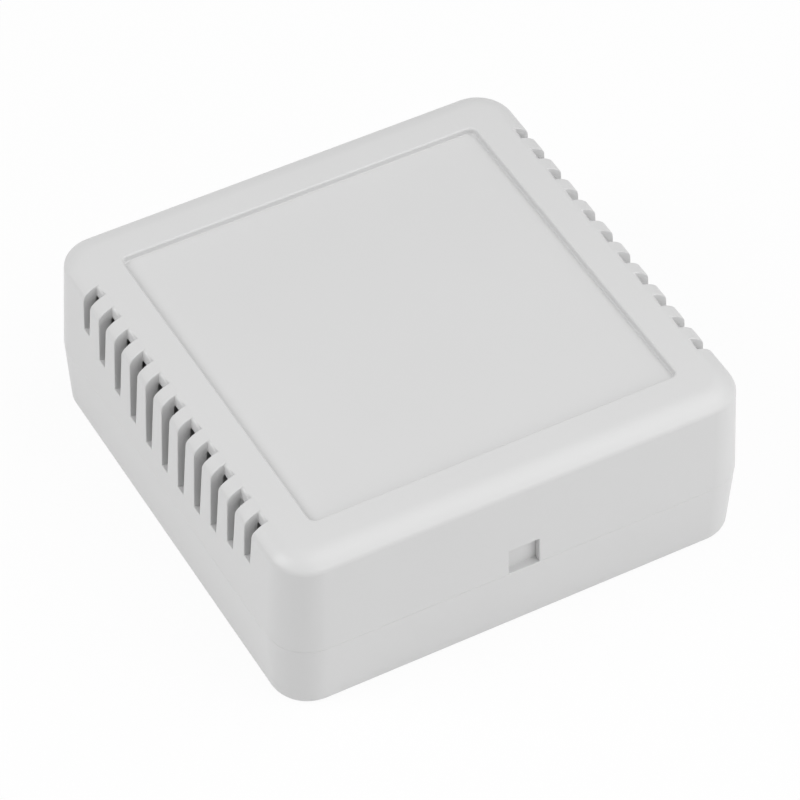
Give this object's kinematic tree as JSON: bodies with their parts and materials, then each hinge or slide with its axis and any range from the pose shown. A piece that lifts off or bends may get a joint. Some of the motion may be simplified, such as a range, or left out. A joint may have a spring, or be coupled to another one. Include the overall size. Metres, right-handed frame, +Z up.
{
  "type": "vented electronics enclosure",
  "caption": "Square snap-fit plastic case with a tray base and a lift-off cover, slotted on two sides for air, with a label recess on top and a pry notch at the front.",
  "frame": {"origin": "centre of the base's bottom face, on the surface that the case stands on", "axes": "+Z up through the cover, -Y towards the notched front, +X and -X towards the vented sides"},
  "size_m": [0.071, 0.071, 0.027],
  "materials": {
    "base_plastic": "fine moulded texture, light grey",
    "cover_plastic": "fine moulded texture, light grey"
  },
  "bodies": {
    "base": {"base": "base_plastic"},
    "cover": {"cover": "cover_plastic"}
  },
  "joints": [
    {"name": "cover_lift", "type": "slide", "parent": "base", "child": "cover", "axis": [0, 0, 1], "range_m": [0, 0.06]}
  ]
}
